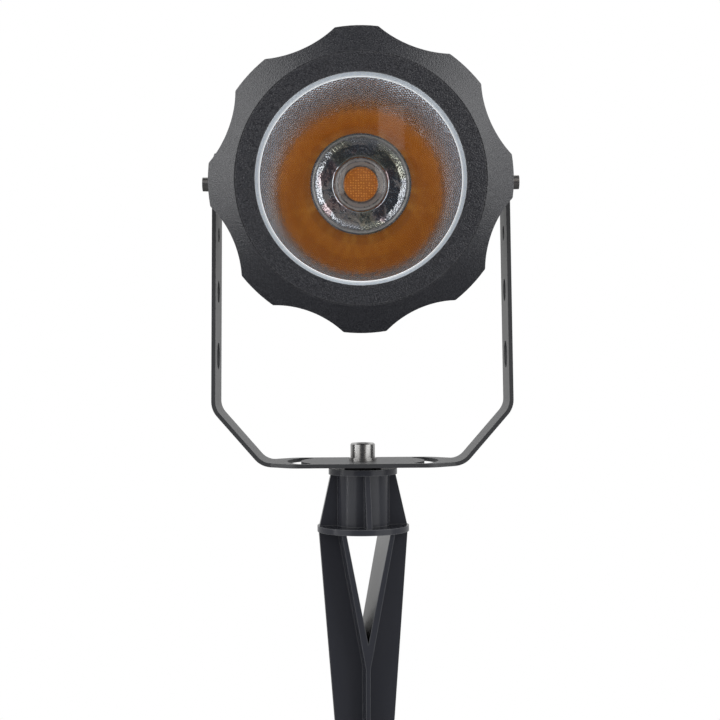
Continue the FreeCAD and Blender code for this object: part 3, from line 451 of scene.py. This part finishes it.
# ---------------------------------------------------------------------------------------------
# Softened edges on the CAD pieces
# ---------------------------------------------------------------------------------------------
SMOOTH_ANGLE = math.radians(32)
BEVEL_ANGLE = math.radians(35)
WELD_REACH = 0.004 * MM
EDGE_WIDTHS_MM = {"bezel": 0.22, "housing": 0.4, "rear_cover": 0.3, "yoke_bracket": 0.25,
                  "ground_spike": 0.45, "yoke_bolt": 0.2, "gland_nut": 0.3, "gland_body": 0.3,
                  "pivot_screws": 0.2, "cover_screws": 0.15}


def smooth_by_angle():
    """A modifier group that shades a mesh smooth except across its sharper edges."""
    group = bpy.data.node_groups.new("smooth_by_angle", "GeometryNodeTree")
    group.interface.new_socket("Geometry", in_out="INPUT", socket_type="NodeSocketGeometry")
    group.interface.new_socket("Geometry", in_out="OUTPUT", socket_type="NodeSocketGeometry")
    into, out = group.nodes.new("NodeGroupInput"), group.nodes.new("NodeGroupOutput")
    angle = group.nodes.new("GeometryNodeInputMeshEdgeAngle")
    compare = group.nodes.new("FunctionNodeCompare")
    compare.operation = "LESS_THAN"
    compare.inputs["B"].default_value = SMOOTH_ANGLE
    faces = group.nodes.new("GeometryNodeSetShadeSmooth")
    edges = group.nodes.new("GeometryNodeSetShadeSmooth")
    edges.domain = "EDGE"
    group.links.new(into.outputs[0], faces.inputs["Geometry"])
    group.links.new(faces.outputs[0], edges.inputs["Geometry"])
    group.links.new(angle.outputs["Unsigned Angle"], compare.inputs["A"])
    group.links.new(compare.outputs[0], edges.inputs["Shade Smooth"])
    group.links.new(edges.outputs[0], out.inputs[0])
    return group


SMOOTH = smooth_by_angle()


def soften(piece, width):
    """Welds the mesh, rounds its sharp edges by a small width and shades it smooth between them."""
    piece.modifiers.new("weld", "WELD").merge_threshold = WELD_REACH
    bevel = piece.modifiers.new("edges", "BEVEL")
    bevel.width = width
    bevel.segments = 2
    bevel.limit_method = "ANGLE"
    bevel.angle_limit = BEVEL_ANGLE
    bevel.use_clamp_overlap = True
    piece.modifiers.new("shade", "NODES").node_group = SMOOTH
    piece.modifiers.new("weights", "WEIGHTED_NORMAL").keep_sharp = True


for node, width in EDGE_WIDTHS_MM.items():
    soften(frame["nodes"][node], width * MM)


# ---------------------------------------------------------------------------------------------
# Pieces turned about the light's axis
# ---------------------------------------------------------------------------------------------
def new_piece(name, mesh_builder, finish, smooth=True):
    """An object whose mesh the builder fills, with one finish."""
    mesh = bpy.data.meshes.new(name)
    working = bmesh.new()
    mesh_builder(working)
    bmesh.ops.recalc_face_normals(working, faces=working.faces)
    for face in working.faces:
        face.smooth = smooth
    working.to_mesh(mesh)
    working.free()
    mesh.materials.append(finish)
    piece = bpy.data.objects.new(name, mesh)
    bpy.context.scene.collection.objects.link(piece)
    return piece


def on_ring(radius, position, turn):
    """A point at a distance from the light's axis, a position along it and an angle round it."""
    return HEAD @ Vector((radius * math.cos(turn), position, radius * math.sin(turn)))


def ring(working, radius, position, around, shift=0):
    """Corners on a circle about the light's axis, turned by a share of one step."""
    return [working.verts.new(on_ring(radius, position, 2 * math.pi * (k + shift) / around))
            for k in range(around)]


def bridge(working, first, second):
    """A band of faces between two rings with as many corners."""
    for k in range(len(first)):
        after = (k + 1) % len(first)
        working.faces.new((first[k], first[after], second[after], second[k]))


def turned_section(working, section, around, closed=True):
    """Turns a section of radius and position pairs about the light's axis, and returns its rings."""
    rings = [ring(working, radius, position, around) for radius, position in section]
    following = rings[1:] + rings[:1] if closed else rings[1:]
    for first, second in zip(rings, following):
        bridge(working, first, second)
    return rings


# ---------------------------------------------------------------------------------------------
# Bowl with its fine facets
# ---------------------------------------------------------------------------------------------
SETBACK = LED_PLANE - FLANGE_FRONT
FOCAL = (math.hypot(SETBACK, RIM_RADIUS) - SETBACK) / 2
FACETS_AROUND = 132
BOWL_WALL = 1.1 * MM
RIM_WALL = 0.1 * MM


def bowl_place(radius):
    """Position along the axis at which the parabola has a radius."""
    return LED_PLANE + FOCAL - radius ** 2 / (4 * FOCAL)


def facet_rings():
    """Ring radii from the rim to the throat, each step half a facet's width along the bowl."""
    radii = [RIM_RADIUS]
    while radii[-1] > THROAT_RADIUS:
        radius = radii[-1]
        step = math.pi * radius / FACETS_AROUND
        radii.append(radius - step / math.hypot(1, radius / (2 * FOCAL)))
    stretch = (RIM_RADIUS - THROAT_RADIUS) / (RIM_RADIUS - radii[-1])
    return [RIM_RADIUS - (RIM_RADIUS - radius) * stretch for radius in radii]


def facet_slope(radius):
    """How far the sides of a facet lean off the bowl: hardly near the throat, clearly at the rim."""
    lean_starts, lean_full = 0.62, 0.98
    share = (radius / RIM_RADIUS - lean_starts) / (lean_full - lean_starts)
    least_lean, added_lean = 0.8, 4.1
    return math.radians(least_lean + added_lean * min(max(share, 0), 1))


def raise_facets(working, radii, rings, painted_highlight_layer):
    """Low pyramids towards the axis, each on a diamond of corners from three rings. Their heights
    are a little uneven."""
    chance = random.Random(5)
    for row in range(1, len(rings) - 1):
        above, middle, below = rings[row - 1:row + 2]
        radius = radii[row]
        half_width = math.pi * radius / FACETS_AROUND
        bowl_lean = math.atan2(radius, 2 * FOCAL)
        for k in range(FACETS_AROUND):
            after = (k + 1) % FACETS_AROUND
            across = k if row % 2 == 0 else after
            turn = 2 * math.pi * (k + 0.5 * (row % 2) + 0.5) / FACETS_AROUND
            crown = half_width * math.tan(facet_slope(radius) * chance.uniform(0.92, 1.08))
            peak = working.verts.new(on_ring(radius - crown * math.cos(bowl_lean),
                                             bowl_place(radius) - crown * math.sin(bowl_lean), turn))
            # The peak holds the facet's painted highlight, a little uneven from facet to facet.
            peak[painted_highlight_layer] = chance.uniform(0.6, 1.2)
            corners = (middle[k], above[across], middle[after], below[across])
            for first, second in zip(corners, corners[1:] + corners[:1]):
                working.faces.new((first, second, peak))


def fill_teeth(working, edge_ring, inner_ring, inner_row):
    """Triangles between the last facets and the ring that ends the bowl."""
    for k in range(FACETS_AROUND):
        after = (k + 1) % FACETS_AROUND
        working.faces.new((edge_ring[k], edge_ring[after], inner_ring[k if inner_row % 2 == 1 else after]))


def build_bowl(working):
    """Rows of diamond facets, closed by a shell behind them that is thin at the rim."""
    painted_highlight_layer = working.verts.layers.float.new(FACET_PAINTED_HIGHLIGHT)
    radii = facet_rings()
    shifts = [0.5 * (row % 2) for row in range(len(radii))]
    rings = [ring(working, radius, bowl_place(radius), FACETS_AROUND, shift)
             for radius, shift in zip(radii, shifts)]
    raise_facets(working, radii, rings, painted_highlight_layer)
    fill_teeth(working, rings[0], rings[1], 1)
    fill_teeth(working, rings[-1], rings[-2], len(rings) - 2)
    shell = [ring(working, RIM_RADIUS + RIM_WALL, bowl_place(RIM_RADIUS) + BOWL_WALL, FACETS_AROUND)]
    for share, shift in ((0.25, 0), (0.6, 0), (1, shifts[-1])):
        radius = (1 - share) * RIM_RADIUS + share * THROAT_RADIUS
        shell.append(ring(working, radius + BOWL_WALL, bowl_place(radius), FACETS_AROUND, shift))
    chain = [rings[0]] + shell + [rings[-1]]
    for outer, inner in zip(chain, chain[1:]):
        bridge(working, outer, inner)


bowl = new_piece("reflector_bowl", build_bowl, FINISHES["mirror_reflector"], smooth=False)
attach(bowl, "head")

# ---------------------------------------------------------------------------------------------
# Flange, dish, rings, amber wall and clear dome
# ---------------------------------------------------------------------------------------------
FLANGE_SIDES = 200
LENS_SIDES = 128
RING_SIDES = 96
BEAD_SIDES = 8
MOUTH_RADIUS = PHOSPHOR_RADIUS + 4.2 * MM
DISH_REAR = REFLECTOR_FOOT + 2.1 * MM
# Clearance that keeps two surfaces from lying in one plane.
HAIR = 0.02 * MM


def build_flange(working):
    """Flat ring behind the glass, with a small rolled lip at the bowl's mouth."""
    front, rear = FLANGE_FRONT + HAIR, FLANGE_FRONT + 1.0 * MM
    lip, lip_steps = 0.22 * MM, 5
    section = [(RIM_RADIUS + lip, rear), (RIM_RADIUS, front + lip)]
    for step in range(1, lip_steps):
        angle = math.pi * step / lip_steps
        section.append((RIM_RADIUS + lip * (1 - math.cos(angle)), front + lip * (1 - math.sin(angle))))
    section += [(RIM_RADIUS + 2 * lip, front + lip), (FLANGE_RADIUS, front + lip), (FLANGE_RADIUS, rear)]
    turned_section(working, section, FLANGE_SIDES)


flange = new_piece("reflector_flange", build_flange, self_lit_satin_rim())
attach(flange, "head")
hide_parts("reflector")


def build_skirt(working):
    """Polished dish from the throat down to the mouth of the LED's holder."""
    outer = THROAT_RADIUS - 1.0 * MM
    # How far inward of its edge, and how deep behind the throat, the dish's face passes, in mm.
    face = ((0, -0.70), (0.4, -0.42), (0.8, -0.20), (1.3, 0.01), (2.0, 0.20), (3.0, 0.36), (5.0, 0.62),
            (7.0, 0.84))
    section = [(outer - inward * MM, REFLECTOR_FOOT + depth * MM) for inward, depth in face]
    section += [(MOUTH_RADIUS, REFLECTOR_FOOT + 0.94 * MM), (MOUTH_RADIUS, DISH_REAR - HAIR),
                (outer, REFLECTOR_FOOT - HAIR)]
    turned_section(working, section, LENS_SIDES)


skirt = new_piece("lens_skirt", build_skirt, dark_mirror())
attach(skirt, "head")


def build_rings(working):
    """Fine raised rings between the dish and the phosphor: the mouth's lip, a middle bead and the
    bright frame round the phosphor."""
    for radius, position, thickness in ((MOUTH_RADIUS - 0.1 * MM, DISH_REAR, 0.35 * MM),
                                        (PHOSPHOR_RADIUS + 2.8 * MM, LED_PLANE - 0.7 * MM, 0.3 * MM),
                                        (PHOSPHOR_RADIUS + 0.7 * MM, LED_PLANE - 0.1 * MM, 0.35 * MM)):
        angles = [2 * math.pi * step / BEAD_SIDES for step in range(BEAD_SIDES)]
        section = [(radius + thickness * math.cos(angle), position + thickness * math.sin(angle))
                   for angle in angles]
        turned_section(working, section, RING_SIDES)


rings = new_piece("mouth_rings", build_rings, bright_ring())
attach(rings, "head")


def build_dam(working):
    """Thin amber wall round the phosphor, edge-on from the front; the bowl mirrors its sides."""
    inner = PHOSPHOR_RADIUS + 0.05 * MM
    outer = inner + 0.2 * MM
    front, rear = REFLECTOR_FOOT + 0.1 * MM, LED_PLANE - HAIR
    turned_section(working, [(inner, front), (outer, front), (outer, rear), (inner, rear)], RING_SIDES)


dam = new_piece("phosphor_dam", build_dam, FINISHES["led_phosphor"])
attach(dam, "head")


def build_dome(working):
    """Clear dome over the dish: a short upright rim, then one arc to the top, closed behind."""
    rim = REFLECTOR_FOOT - 1.0 * MM
    radius = THROAT_RADIUS - 0.25 * MM
    rise = 8.5 * MM
    sphere = (radius ** 2 + rise ** 2) / (2 * rise)
    span = math.asin(radius / sphere)
    arc_steps = 18
    section = [(radius, REFLECTOR_FOOT), (radius, rim)]
    for step in range(1, arc_steps):
        angle = span * (1 - step / arc_steps)
        section.append((sphere * math.sin(angle), rim - rise + sphere * (1 - math.cos(angle))))
    rings = turned_section(working, section, LENS_SIDES, closed=False)
    foremost, rearmost = rings[-1], rings[0]
    top = working.verts.new(on_ring(0, rim - rise, 0))
    base = working.verts.new(on_ring(0, REFLECTOR_FOOT, 0))
    for k in range(LENS_SIDES):
        after = (k + 1) % LENS_SIDES
        working.faces.new((foremost[k], foremost[after], top))
        working.faces.new((rearmost[after], rearmost[k], base))


dome = new_piece("lens_dome", build_dome, clear_glass("dome_glass", grey(0.97), 0.008))
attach(dome, "head")
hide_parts("centre_lens")


# ---------------------------------------------------------------------------------------------
# Studio
# ---------------------------------------------------------------------------------------------
def ray_masks(finish):
    """1 for rays from the camera, for rays off mirrors and for rays through glass, in turn."""
    return [finish.node("ShaderNodeLightPath", {}, {}, output)
            for output in ("Is Camera Ray", "Is Glossy Ray", "Is Transmission Ray")]


def floor_white():
    """A pale floor that the camera sees as white but for the object's shadow. In mirrors it is dark
    near the object."""
    finish = Finish("floor_white")
    camera, glossy, through = ray_masks(finish)
    white = finish.node("ShaderNodeEmission", {}, {"Color": grey(1.0), "Strength": 1.0})
    away = finish.vector("LENGTH", finish.place(), output="Value")
    level = 0.85 - 0.71 * glossy * (1 - away.between(0.6, 1.8))
    matt = finish.node("ShaderNodeBsdfDiffuse", {}, {"Color": level})
    whiteness = (camera + through).clamped() * (0.8 + 0.2 * away.between(0.15, 0.45))
    return finish.show(finish.node("ShaderNodeMixShader", {}, {0: whiteness, 1: matt, 2: white}))


def build_floor(working):
    """One sheet, from just in front of the camera to well behind the object."""
    half_width, front, rear = 3, -0.45, 3
    working.faces.new([working.verts.new((across, away, 0))
                       for across, away in ((-half_width, front), (half_width, front),
                                            (half_width, rear), (-half_width, rear))])


floor = new_piece("floor", build_floor, floor_white())
floor.location.z = CAD_BOX[0].z - 2 * MM


def area_light(name, azimuth, elevation, distance, width, height, radiance):
    """A rectangular lamp that faces the yoke's top. Angles are in degrees, azimuth 0 is in front and
    positive to the right; distance, width and height are in metres."""
    target = Vector((0, 0, 0.10))
    turn, rise = math.radians(azimuth), math.radians(elevation)
    away = Vector((math.sin(turn) * math.cos(rise), -math.cos(turn) * math.cos(rise), math.sin(rise)))
    light = bpy.data.lights.new(name, "AREA")
    light.shape = "RECTANGLE"
    light.size = width
    light.size_y = height
    light.energy = radiance * math.pi * width * height
    lamp = bpy.data.objects.new(name, light)
    lamp.location = target + away * distance
    lamp.rotation_euler = (-away).to_track_quat("-Z", "Y").to_euler()
    bpy.context.scene.collection.objects.link(lamp)


area_light("left_softbox", -53, 13, 0.95, 0.84, 1.06, 1.9)
area_light("right_softbox", 53, 13, 0.95, 0.84, 1.06, 2.4)
area_light("left_strip", -74, 4, 0.93, 0.05, 0.6, 8.0)
area_light("front_card", 2.2, 5.4, 0.739, 0.023, 0.039, 0.8)


def studio_world():
    """White for what the camera sees past the object. Mirrors see a pale tent behind the object and
    a dim room in front of it, and matt surfaces get an even grey."""
    finish = Finish("studio", world=True)
    camera, glossy, through = ray_masks(finish)
    direction = finish.node("ShaderNodeTexCoord", {}, {}, "Generated")
    away, up = [finish.node("ShaderNodeSeparateXYZ", {}, {0: direction}, axis) for axis in "YZ"]
    clutter = finish.node("ShaderNodeTexNoise", {}, {"Vector": direction, "Scale": 2.6, "Detail": 3.0})
    walls = 0.95 * away.between(-0.3, 0.1) - 0.25 * away.between(0.5, 0.9)
    raised = walls * (1 + 0.3 * up.between(0.3, 0.7)) + 0.2 * up.between(0.2, 0.5)
    tent = 0.06 + 0.22 * clutter.between(0.42, 0.64) + raised * (1 - up.between(0.80, 0.93))
    level = 0.75 * (1 - glossy) + tent * glossy
    tint = finish.blend(clutter.between(0.45, 0.6), (0.80, 0.88, 1.0), (1.0, 0.89, 0.82))
    tint = finish.blend(glossy * (1 - away.between(-0.5, -0.1)), grey(1.0), tint)
    soft = finish.node("ShaderNodeBackground", {}, {"Color": tint, "Strength": level})
    white = finish.node("ShaderNodeBackground", {}, {"Color": grey(1.0), "Strength": 1.0})
    seen = (camera + through).clamped()
    world = finish.show(finish.node("ShaderNodeMixShader", {}, {0: seen, 1: soft, 2: white}))
    world.cycles.sampling_method = "NONE"
    return world


bpy.context.scene.world = studio_world()

# ---------------------------------------------------------------------------------------------
# Camera: level with the middle of the yoke, at the distance that the photograph's outlines give
# ---------------------------------------------------------------------------------------------
FRAME_WIDTH = 720
FOCAL_PIXELS = 1387
SENSOR_WIDTH = 36
CAMERA_PLACE = Vector((-0.00084, -0.566, 0.0696))
ROLL = math.radians(-0.41)
camera_data = bpy.data.cameras.new("camera")
camera_data.sensor_width = SENSOR_WIDTH
camera_data.lens = SENSOR_WIDTH * FOCAL_PIXELS / FRAME_WIDTH
camera_data.clip_start = 0.01
camera = bpy.data.objects.new("camera", camera_data)
camera.matrix_world = (Matrix.Translation(CAMERA_PLACE) @ Matrix.Rotation(math.radians(90), 4, "X")
                       @ Matrix.Rotation(ROLL, 4, "Z"))
bpy.context.scene.collection.objects.link(camera)
bpy.context.scene.camera = camera
bpy.context.scene.view_settings.view_transform = "Standard"
